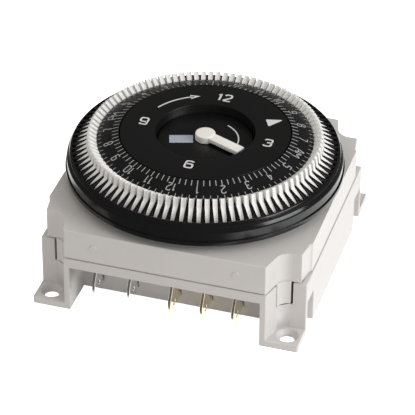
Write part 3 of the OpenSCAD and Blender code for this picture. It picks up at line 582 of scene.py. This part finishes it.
bore_r, hub_r = 6.05, 8
hub_z = cover_top + 0.3
web_z, web_top = wire_z - 1.4, wire_z
wheel_hub_top = wire_z + 0.7
skirt_z = cover_top + 2.4
seat_z = wheel_top - 1
drum_r = ring_r - 1.4
collar_r, collar_out_r = face_r + 0.4, face_r + 1.6
wheel = [
    (bore_r, hub_z), (hub_r, hub_z), (hub_r, web_z), (drum_r, web_z), (drum_r, skirt_z),
    (ring_r + 0.1, skirt_z), (ring_r + 0.1, wheel_top - 1.3), (ring_r, wheel_top - 1.2),
    (ring_r, seat_z), (drum_r, seat_z), (drum_r, web_top), (collar_out_r, web_top),
    (collar_out_r, wheel_top), (collar_r, wheel_top), (collar_r, web_top), (hub_r, web_top),
    (hub_r, wheel_hub_top), (bore_r, wheel_hub_top)]
lathe("wheel_drum", wheel, 0.08, "dial", "wheel_black", "programme_wheel")

# The rim: flange, upright wall, leaning wall with a bead round it, and the edge inside the slots
rim_r = flange_r - 1.17
rim_in_r, rim_top = rim_r - 0.75, wire_z + 0.4
flange_top = cover_top + 3.8
wall_r, wall_top = rim_r + 0.8, cover_top + 6.3
rim = [
    (rim_in_r, skirt_z), (flange_r, skirt_z), (flange_r, flange_top), (wall_r, flange_top),
    (wall_r, wall_top), (rim_r + 0.3, wire_z - 0.9), (rim_r + 0.14, wire_z - 0.8),
    (rim_r + 0.1, wire_z - 0.65), (rim_r + 0.15, wire_z - 0.55), (rim_r - 0.25, rim_top),
    (rim_in_r, rim_top)]
lathe("wheel_rim", rim, [0.05, 0.3, 0.25, 0.1, 1.2, 0.05, 0.04, 0.04, 0.08, 0.45, 0.05],
      "dial", "wheel_black")

# Ribs between the trippers' slots
SLOT_HALF = 0.7
rib_in_r, rib_out_r, rib_z = ring_r - 0.05, rim_r - 0.65, cover_top + 2.5
rib = np.array([
    (rib_in_r, rib_z), (rib_in_r, wheel_top - 1.3), (wire_r - 0.7, wheel_top - 1.3),
    (rib_out_r, rim_top), (rib_out_r, rib_z)])


def rib_half(r, z):
    """Half thickness of a rib: r * tan(half a step), less half a slot."""
    return r * math.tan(STEP / 2) - SLOT_HALF * MM


rib_shell = blade_shell(rounded(rib * MM, 0.1 * MM, steps=3), rib_half, edge=0.1 * MM, steps=2)
rib_angles = DIAL_TURN + STEP * np.arange(TRIPPERS)
finish_piece(ring_of("wheel_ribs", rib_shell, rib_angles), "dial", paint["wheel_black"],
             "wheel_black")

# The gear under the wheel: radius in modules from the pitch line, and half width as a share of a
# tooth's step, at the root, the pitch line and the tip
GEAR_MODULE, GEAR_TEETH, GEAR_BORE, GEAR_PHASE = 0.4, 64, 7.5, math.radians(2.8)
ROOT, PITCH_LINE, TIP = (-1.3, 0.29), (0, 0.2), (0.95, 0.08)


def gear_ring(module, teeth, bore, phase):
    """Outline of a gear and its round bore, point for point.

    A point at share s of tooth n has the angle (n + s) * 360 degrees / teeth + phase, with s from
    minus to plus the half width, and the radius of its root, pitch line or tip."""
    pitch = module * teeth / 2
    flank = np.array([(pitch + out * module, share) for out, share in (ROOT, PITCH_LINE, TIP)])
    tooth = np.concatenate([flank * (1, -1), flank[::-1]])
    angle = ((np.arange(teeth)[:, None] + tooth[None, :, 1]) * TAU / teeth + phase).ravel()
    radius = np.tile(tooth[:, 0], teeth)
    round_points = np.column_stack([np.cos(angle), np.sin(angle)])
    return radius[:, None] * round_points, bore * round_points


def extruded_ring(name, outer, inner, z0, z1):
    """A washer between two outlines with the same number of points: four loops joined by quads."""
    loops = [(outer, z0), (outer, z1), (inner, z1), (inner, z0)]
    points = np.concatenate([np.column_stack([o, np.full(len(o), z)]) for o, z in loops]) * MM
    return mesh_object(name, points,
                       grid_faces(len(loops), len(outer), wrap_rows=True, wrap_columns=True))


gear_outline, gear_bore = gear_ring(GEAR_MODULE, GEAR_TEETH, GEAR_BORE, GEAR_PHASE)
gear = extruded_ring("wheel_gear", gear_outline, gear_bore, cover_top + 0.5, cover_top + 2.1)
finish_piece(gear, "dial", paint["wheel_black"], "wheel_black")

# ---------------------------------------------------------------- number ring, face, hour disc
# The number ring begins this far outside the clock face, and falls to this far below the wheel
CONE_INSET, CONE_DROP = 0.25, 0.1
cone_in_r = face_r + CONE_INSET
lathe("ring_cone",
      [(cone_in_r, wheel_top), (cone_in_r, ring_z), (ring_r, wheel_top - CONE_DROP),
       (ring_r, seat_z), (drum_r, seat_z), (collar_out_r, wheel_top)],
      [0.05, 0.12, 0.25, 0.05, 0.05, 0.05], "dial", "ring_grey", "number_ring", segments=384)

# A print takes the place of the top layer of the plastic, of this thickness
FILM = 0.035
plate_z = face_z - FILM
dish_top = face_web_z + 0.7
face_foot_z, face_bore_r = face_z - 1.2, 4.2
# The dish's wall at its top and at its foot, seen from inside the dish and from below the face
dish_r, dish_foot_r, below_r, below_foot_r = 13.1, 12.65, 14.3, 13.85
lathe("face_plate",
      [(face_bore_r, face_web_z), (below_foot_r, face_web_z), (below_r, face_foot_z),
       (face_r, face_foot_z), (face_r, plate_z), (dish_r, plate_z), (dish_foot_r, dish_top),
       (face_bore_r, dish_top)],
      [0.05, 0.3, 0.3, 0.05, 0.15, 0.22, 0.15, 0.05], "housing", "face_black", "clock_face",
      segments=384)
disc_bore_r, disc_print_z = 2.5, disc_top - FILM
lathe("hour_plate",
      [(disc_bore_r, disc_low), (disc_r, disc_low), (disc_r, disc_print_z),
       (disc_bore_r, disc_print_z)],
      [0.05, 0.1, 0.12, 0.05], "hour", "face_black", "hour_disc")

# ---------------------------------------------------------------- trippers
# Outline in (r, z) from the ring wire, head first, and the radius of each corner
tab = np.array([
    (-3.1, 3.1), (-1.4, 4.5), (-1.05, 4.35), (-0.7, 1.95), (1.9, 0.15), (2.6, -0.55), (2.4, -1),
    (0.7, -0.8), (0.5, -7), (-0.6, -7), (-0.7, -0.5), (-1.5, 1.5), (-3.1, 2.5)]) + (wire_r, wire_z)
tab_radii = np.array([0.25, 0.3, 0.3, 0.5, 0.3, 0.2, 0.2, 0.2, 0.1, 0.1, 0.4, 0.5, 0.25])
# Half thickness of the foot, what the head adds to it, and what the head's tip loses again
FOOT_HALF, HEAD_GAIN, TIP_LOSS = 0.49, 0.16, 0.08
NECK_Z, NECK_HEIGHT, TIP_Z, TIP_HEIGHT = 1.5, 0.9, 3.3, 1.3


def ease(x):
    """Smooth step of an array: 3 x^2 - 2 x^3 between 0 and 1."""
    x = np.clip(x, 0, 1)
    return x * x * (3 - 2 * x)


def tab_half(r, z):
    """Half thickness: FOOT_HALF, plus HEAD_GAIN eased in over the neck, less TIP_LOSS eased in
    over the tip. Heights are counted from the ring wire."""
    up = z / MM - wire_z
    head = ease((up - NECK_Z) / NECK_HEIGHT)
    tip = ease((up - TIP_Z) / TIP_HEIGHT)
    return (FOOT_HALF + HEAD_GAIN * head - TIP_LOSS * tip) * MM


tab_shell = blade_shell(rounded(tab * MM, tab_radii * MM, steps=4), tab_half,
                        edge=0.2 * MM, steps=3)
tab_angles = DIAL_TURN + STEP * (np.arange(TRIPPERS) + 0.5)
still = np.delete(np.arange(TRIPPERS), SINGLES)
finish_piece(ring_of("tabs", tab_shell, tab_angles[still]), "dial", paint["tripper_white"],
             "tripper_white", "trippers")
for number, place in enumerate(SINGLES, 1):
    node = "tripper_%d" % number
    finish_piece(ring_of("tab_%d" % number, tab_shell, tab_angles[[place]]), node,
                 paint["tripper_white"], "tripper_white", node)

# ---------------------------------------------------------------- minute hand
# The hub's profile stops just short of the axis, at AXIS_R
AXIS_R, HAND_HUB_R, HAND_DOME_R = 0.001, 2.65, 2.2
ARM_START, ARM_END, ARM_HALF, ARM_THICK, ARM_Z = 1.2, 12, 1.5, 1.2, 36.3


def hand_shells():
    """A domed hub turned round the axis, and a flat arm with rounded edges reaching out of it."""
    hub = [(AXIS_R, hub_low), (HAND_HUB_R, hub_low), (HAND_HUB_R, hub_top - 0.15),
           (HAND_DOME_R, hub_top - 0.03), (AXIS_R, hub_top)]
    hub_radii = np.array([0, 0.1, 0.35, 0.2, 0])
    hub_shell = turned(rounded(np.array(hub) * MM, hub_radii * MM), segments=96)
    corners = [(ARM_START, -ARM_HALF), (ARM_END, -ARM_HALF), (ARM_END, ARM_HALF),
               (ARM_START, ARM_HALF)]
    arm = rounded(np.array(corners) * MM, np.array([0.1, 0.35, 0.35, 0.1]) * MM)
    points, faces = plate_shell(arm, ARM_THICK * MM, edge=0.2 * MM, base=ARM_Z * MM, steps=3)
    c, s = math.cos(HAND_TURN), math.sin(HAND_TURN)
    return [hub_shell, (points @ np.array([(c, s, 0), (-s, c, 0), (0, 0, 1)]), faces)]


finish_piece(shells_to_object("hand", hand_shells()), "minute", paint["hand_white"],
             "hand_white", "minute_hand")

# ---------------------------------------------------------------- prints
# Strokes of each sign in a cell 1 wide and 1 high
SIGNS = {
    "0": [[(0.15, 0), (0.85, 0), (1, 0.12), (1, 0.88), (0.85, 1), (0.15, 1), (0, 0.88), (0, 0.12),
           (0.15, 0)]],
    "1": [[(0.1, 0.78), (0.55, 1), (0.55, 0)]],
    "2": [[(0, 0.82), (0.12, 1), (0.88, 1), (1, 0.88), (1, 0.66), (0.9, 0.54), (0, 0.14), (0, 0),
           (1, 0)]],
    "3": [[(0, 0.86), (0.12, 1), (0.88, 1), (1, 0.88), (1, 0.62), (0.88, 0.52), (0.35, 0.52)],
          [(0.88, 0.52), (1, 0.42), (1, 0.12), (0.88, 0), (0.12, 0), (0, 0.14)]],
    "4": [[(0.78, 0), (0.78, 1), (0, 0.3), (1, 0.3)]],
    "5": [[(0.95, 1), (0.08, 1), (0.04, 0.56), (0.86, 0.6), (1, 0.48), (1, 0.14), (0.86, 0),
           (0.14, 0), (0, 0.14)]],
    "6": [[(0.96, 0.88), (0.84, 1), (0.14, 1), (0, 0.88), (0, 0.12), (0.14, 0), (0.86, 0),
           (1, 0.12), (1, 0.46), (0.86, 0.58), (0.02, 0.58)]],
    "7": [[(0, 1), (1, 1), (0.4, 0)]],
    "8": [[(0.15, 0.53), (0.85, 0.53), (0.97, 0.64), (0.97, 0.9), (0.85, 1), (0.15, 1),
           (0.03, 0.9), (0.03, 0.64), (0.15, 0.53)],
          [(0.15, 0.53), (0, 0.42), (0, 0.12), (0.15, 0), (0.85, 0), (1, 0.12), (1, 0.42),
           (0.85, 0.53)]],
    "9": [[(0.04, 0.12), (0.16, 0), (0.86, 0), (1, 0.12), (1, 0.88), (0.86, 1), (0.14, 1),
           (0, 0.88), (0, 0.54), (0.14, 0.42), (0.98, 0.42)]],
    "A": [[(0, 0), (0.42, 1), (0.58, 1), (1, 0)], [(0.15, 0.32), (0.85, 0.32)]],
    "M": [[(0, 0), (0, 1), (0.5, 0.3), (1, 1), (1, 0)]],
    "P": [[(0, 0), (0, 1), (0.85, 1), (1, 0.88), (1, 0.56), (0.85, 0.44), (0, 0.44)]],
}
# Signs that are narrower or wider than the others
SIGN_WIDTHS = {"1": 0.72, "M": 1.3}
# A stroke's edge is moved out at a corner at most by its half width over this
STROKE_MITRE = 0.8
# Corners of a stroke are rounded by this share of its width
STROKE_ROUND = 0.8
# A print is let into its surface by this
SUNK = 0.005


def ribbon(path, width, closed):
    """Left and right edges of a stroke along a path.

    Each point moves by half the width along the mean normal of the two pieces that meet there."""
    path = np.asarray(path, float)
    ahead = np.diff(path, axis=0)
    ahead /= np.linalg.norm(ahead, axis=1, keepdims=True)
    normal = np.stack([-ahead[:, 1], ahead[:, 0]], -1)
    first = np.concatenate([normal[-1:] if closed else normal[:1], normal])
    last = np.concatenate([normal, normal[:1] if closed else normal[-1:]])
    mean = first + last
    mean /= np.maximum(np.sum(mean * last, 1, keepdims=True), STROKE_MITRE)
    return path + mean * width / 2, path - mean * width / 2


def stroke_shell(path, width, lift, closed=False):
    """A thin closed strip: four rows, left and right at the surface and at the top of the film."""
    left, right = ribbon(path, width, closed)
    points = np.concatenate([
        np.column_stack([edge, np.full(len(edge), h)])
        for edge, h in ((left, 0.0), (right, 0.0), (right, lift), (left, lift))])
    count = len(left)
    faces = grid_faces(rows=4, columns=count, wrap_rows=True)
    faces += [[0, count, 2 * count, 3 * count],
              [count - 1, 4 * count - 1, 3 * count - 1, 2 * count - 1]]
    return points, faces


def sign_shells(text, width, height, gap, thickness, lift):
    """The strokes of a line of signs, centred on the origin, in millimetres."""
    widths = [width * SIGN_WIDTHS.get(sign, 1.0) for sign in text]
    left = -(sum(widths) + gap * (len(text) - 1)) / 2
    shells = []
    for sign, wide in zip(text, widths):
        for path in SIGNS[sign]:
            path = np.array(path) * (wide, height) + (left, -height / 2)
            closed = bool(np.allclose(path[0], path[-1]))
            if len(path) > 2:
                path = rounded(path, thickness * STROKE_ROUND, steps=3, closed=False)
            shells.append(stroke_shell(path, thickness, lift, closed))
        left += wide + gap
    return shells


def arc_path(radius, start, stop, step=2.0):
    """Points along an arc, (radius cos a, radius sin a), in millimetres and degrees."""
    a = np.radians(np.linspace(start, stop, max(3, int(abs(stop - start) / step) + 1)))
    return np.column_stack([radius * np.cos(a), radius * np.sin(a)])


def cone_height(r):
    """Height of the number ring's top at a radius: a straight fall, in millimetres."""
    share = (r - face_r - CONE_INSET) / (ring_r - face_r - CONE_INSET)
    return ring_z + share * (wheel_top - CONE_DROP - ring_z)


# Level length of one unit up the number ring's slope
SLOPE = 0.945


def on_ring(shell, angle, radius):
    """Lays a flat shell on the number ring: its top outwards, its left to right clockwise.

    A point (x, y, z) goes to radius r = radius + SLOPE y, angle - x / r, and z over the cone."""
    points, faces = shell
    r = radius + points[:, 1] * SLOPE
    a = angle - points[:, 0] / r
    height = cone_height(r) + points[:, 2] - SUNK
    return np.column_stack([r * np.cos(a), r * np.sin(a), height]) * MM, faces


def on_flat(shell, z, place=(0, 0), turn=0.0):
    """Lays a flat shell on a level face, turned about its origin and moved to its place."""
    points, faces = shell
    c, s = math.cos(turn), math.sin(turn)
    x, y = points[:, 0] * c - points[:, 1] * s, points[:, 0] * s + points[:, 1] * c
    return np.column_stack([x + place[0], y + place[1], points[:, 2] + z - SUNK]) * MM, faces


def printed_piece(name, shells, ink, body, slot):
    """One object of ink for a group of strokes."""
    finish_piece(shells_to_object(name, shells), body, ink, slot)


# Number ring: hours, then a short mark outside and a long mark inside for each tripper
RING_FILM = 0.03
FIRST_HOUR, HOUR_STEP, HOUR_R = 177.3, 15, 25.6
FIGURE_WIDTH, LABEL_WIDTH, FIGURE_HEIGHT, FIGURE_GAP, FIGURE_STROKE = 1.08, 1.35, 2.3, 0.40, 0.26
INNER_MARK, INNER_MARK_WIDTH, INNER_MARK_R = [(0, -0.85), (0, 0.85)], 0.21, 23.55
OUTER_MARK, OUTER_MARK_WIDTH, OUTER_MARK_R = [(0, -0.5), (0, 0.4)], 0.17, 27.7

# 24 hours from six to six, where PM and AM take the place of the two sixes
hours = [str((h - 1) % 12 + 1) for h in range(6, 30)]
hours[0], hours[12] = "PM", "AM"
figures, ticks = [], []
for number, label in enumerate(hours):
    angle = math.radians(FIRST_HOUR + HOUR_STEP * number)
    width = LABEL_WIDTH if label in ("AM", "PM") else FIGURE_WIDTH
    for shell in sign_shells(label, width, FIGURE_HEIGHT, FIGURE_GAP, FIGURE_STROKE, RING_FILM):
        figures.append(on_ring(shell, angle, HOUR_R))
inner_mark = stroke_shell(INNER_MARK, INNER_MARK_WIDTH, RING_FILM)
outer_mark = stroke_shell(OUTER_MARK, OUTER_MARK_WIDTH, RING_FILM)
for number in range(TRIPPERS):
    angle = DIAL_TURN + STEP * number
    ticks.append(on_ring(inner_mark, angle, INNER_MARK_R))
    ticks.append(on_ring(outer_mark, angle, OUTER_MARK_R))
printed_piece("ring_figures", figures, ink_ring, "dial", "ring_grey")
printed_piece("ring_ticks", ticks, ink_ring, "dial", "ring_grey")

# Clock face: four hours, a turning arrow and a pointer to the number ring
HOURS_ON_FACE = (("12", (0.15, 17.0), 1.75), ("3", (17.1, -0.4), 1.95),
                 ("6", (0.56, -16.04), 1.95), ("9", (-16.75, -0.15), 1.95))
FACE_HEIGHT, FACE_GAP, FACE_STROKE = 3.0, 0.65, 0.5
ARROW_R, ARROW_START, ARROW_STOP, ARROW_STROKE = 16.9, 154.6, 117, 0.42
ARROW_HEAD = np.array([(-1.1, -0.95), (1.5, 0.0), (-1.1, 0.95)])
ARROW_HEAD_AT = math.radians(116.5)
POINTER, POINTER_ROUND = np.array([(13.51, 10.12), (15.08, 7.10), (17.96, 11.17)]), 0.25

face_signs = []
for label, place, width in HOURS_ON_FACE:
    for shell in sign_shells(label, width, FACE_HEIGHT, FACE_GAP, FACE_STROKE, FILM):
        face_signs.append(on_flat(shell, plate_z, place))
arrow = stroke_shell(arc_path(ARROW_R, ARROW_START, ARROW_STOP), ARROW_STROKE, FILM)
face_signs.append(on_flat(arrow, plate_z))
head_place = (ARROW_R * math.cos(ARROW_HEAD_AT), ARROW_R * math.sin(ARROW_HEAD_AT))
face_signs.append(on_flat(plate_shell(ARROW_HEAD, FILM), plate_z, head_place,
                          ARROW_HEAD_AT - math.pi / 2))
pointer = plate_shell(rounded(POINTER, POINTER_ROUND, steps=4), FILM)
face_signs.append(on_flat(pointer, plate_z))
printed_piece("face_signs", face_signs, ink_light, "housing", "face_black")

# Hour disc: a flag and an arc
FLAG = np.array([(3.2, -1.77), (9.4, -1.77), (9.4, 1.77), (3.2, 1.77)])
FLAG_TURN = math.radians(197.8)
ARC_R, ARC_START, ARC_STOP, ARC_STROKE = 8.7, 64, 0, 0.35
flag = on_flat(plate_shell(FLAG, FILM), disc_print_z, turn=FLAG_TURN)
printed_piece("hour_flag", [flag], ink_blue, "hour", "face_black")
disc_arc = on_flat(stroke_shell(arc_path(ARC_R, ARC_START, ARC_STOP), ARC_STROKE, FILM),
                   disc_print_z)
printed_piece("hour_arc", [disc_arc], ink_light, "hour", "face_black")

# ---------------------------------------------------------------- camera, floor, light
# Strength of the even room on matt surfaces, and as mirrors see it
AMBIENT, MIRRORED = 0.70, 0.12
ROOM_TINT = (1.0, 0.965, 0.925, 1)
LIGHT, DARK = (1, 1, 1, 1), (0, 0, 0, 1)
# The camera: azimuth, elevation and roll in degrees, distance and centre of its view, lens
VIEW_AZIMUTH, VIEW_ELEVATION, VIEW_ROLL = 16.717, 34.968, 0.452
VIEW_DISTANCE, VIEW_CENTRE = 690.74 * MM, (1.53 * MM, -2.58 * MM, 15.83 * MM)
SENSOR, LENS, CLIP_END = 36, 226.47, 10
# Lamps point at the middle of the object
LAMP_TARGET = (0, 0, 20 * MM)
# The floor: half its side, the size of its pattern, its two greys, and the painted dark reflection:
# the grey that mirrors see in front of the object
FLOOR_HALF, FLOOR_PATTERN = 3.0, 0.4
FLOOR_GREY, FLOOR_PALE = (0.84, 0.84, 0.84, 1), (0.88, 0.88, 0.88, 1)
PAINTED_DARK_REFLECTION = (0.12, 0.12, 0.12, 1)
# Where mirrors begin to see the floor glow white, a painted reflection: across it, in metres along
# y + FLOOR_SKEW x, and round it, in square metres of the distance from the axis
FLOOR_SKEW = 0.4
FRONT_FROM, FRONT_FULL = -0.060, -0.038
ROUND_FROM, ROUND_FULL = 0.0070, 0.0110


def aim(obj, azimuth, elevation, distance, target, roll=0.0):
    """Puts an object at a distance from the target, turned to look at it, with a roll."""
    az, el = math.radians(azimuth), math.radians(elevation)
    back = np.array([math.sin(az) * math.cos(el), -math.cos(az) * math.cos(el), math.sin(el)])
    right = np.cross(-back, [0, 0, 1])
    right /= np.linalg.norm(right)
    up = np.cross(right, -back)
    c, s = math.cos(math.radians(roll)), math.sin(math.radians(roll))
    matrix = np.eye(4)
    matrix[:3, 0], matrix[:3, 1] = c * right + s * up, c * up - s * right
    matrix[:3, 2], matrix[:3, 3] = back, np.array(target) + back * distance
    obj.matrix_world = Matrix(matrix.tolist())


def add_camera():
    """A long lens that looks down on the dial from the front right."""
    data = bpy.data.cameras.new("camera")
    data.sensor_width = SENSOR
    data.lens = LENS
    data.clip_end = CLIP_END
    made = bpy.data.objects.new("camera", data)
    bpy.context.scene.collection.objects.link(made)
    aim(made, VIEW_AZIMUTH, VIEW_ELEVATION, VIEW_DISTANCE, VIEW_CENTRE, VIEW_ROLL)
    bpy.context.scene.camera = made


def add_floor():
    """A pale floor that the camera sees white. Mirrors see a painted reflection on it: a white glow
    near the object, and painted dark grey in front of it."""
    finish = Finish("floor_white_painted_glow", roughness=0.85, emission_strength=1.0)
    x = finish.node("SeparateXYZ", output="X", sockets={"Vector": finish.place})
    y = finish.node("SeparateXYZ", output="Y", sockets={"Vector": finish.place})
    behind = finish.spread(y + x * FLOOR_SKEW, FRONT_FROM, FRONT_FULL)
    painted_glow_zone = behind * (1 - finish.spread(x * x + y * y, ROUND_FROM, ROUND_FULL))
    glossy = finish.ray("Glossy")
    pale = finish.mix(finish.noise(FLOOR_PATTERN, detail=2), FLOOR_GREY, FLOOR_PALE)
    # Painted reflection: to mirrors the floor is painted dark grey in front of the object and glows
    # white near it
    finish.feed("Base Color", finish.mix(glossy * (1 - painted_glow_zone), pale, PAINTED_DARK_REFLECTION))
    shown = (finish.ray("Camera") + glossy * painted_glow_zone).clamp()
    finish.feed("Emission Color", finish.mix(shown, DARK, LIGHT))
    points = np.array([(-1, -1, 0), (1, -1, 0), (1, 1, 0), (-1, 1, 0)]) * FLOOR_HALF
    floor = mesh_object("floor", points, [(0, 1, 2, 3)])
    floor.data.materials.append(finish.material)


def add_lamp(name, azimuth, elevation, distance, size, power, colour):
    """A soft rectangular lamp, aimed at the middle of the object."""
    data = bpy.data.lights.new(name, "AREA")
    data.shape = "RECTANGLE"
    data.size, data.size_y = size
    data.energy = power
    data.color = colour
    made = bpy.data.objects.new(name, data)
    bpy.context.scene.collection.objects.link(made)
    aim(made, azimuth, elevation, distance, LAMP_TARGET)


def add_world():
    """An even pale room: white to the camera, dim to mirrors."""
    world = bpy.data.worlds.new("studio")
    bpy.context.scene.world = world
    world.use_nodes = True
    room = Shading(world.node_tree, world.node_tree.nodes["Background"])
    camera, glossy = room.ray("Camera"), room.ray("Glossy")
    room.feed("Strength", AMBIENT + camera * (1 - AMBIENT) - glossy * (AMBIENT - MIRRORED))
    room.feed("Color", room.mix(camera, ROOM_TINT, LIGHT))


add_camera()
add_floor()
add_lamp("key", azimuth=80, elevation=25, distance=0.8, size=(0.45, 0.45), power=3.7,
         colour=(0.97, 0.985, 1.0))
add_world()
bpy.context.scene.view_settings.view_transform = "Standard"
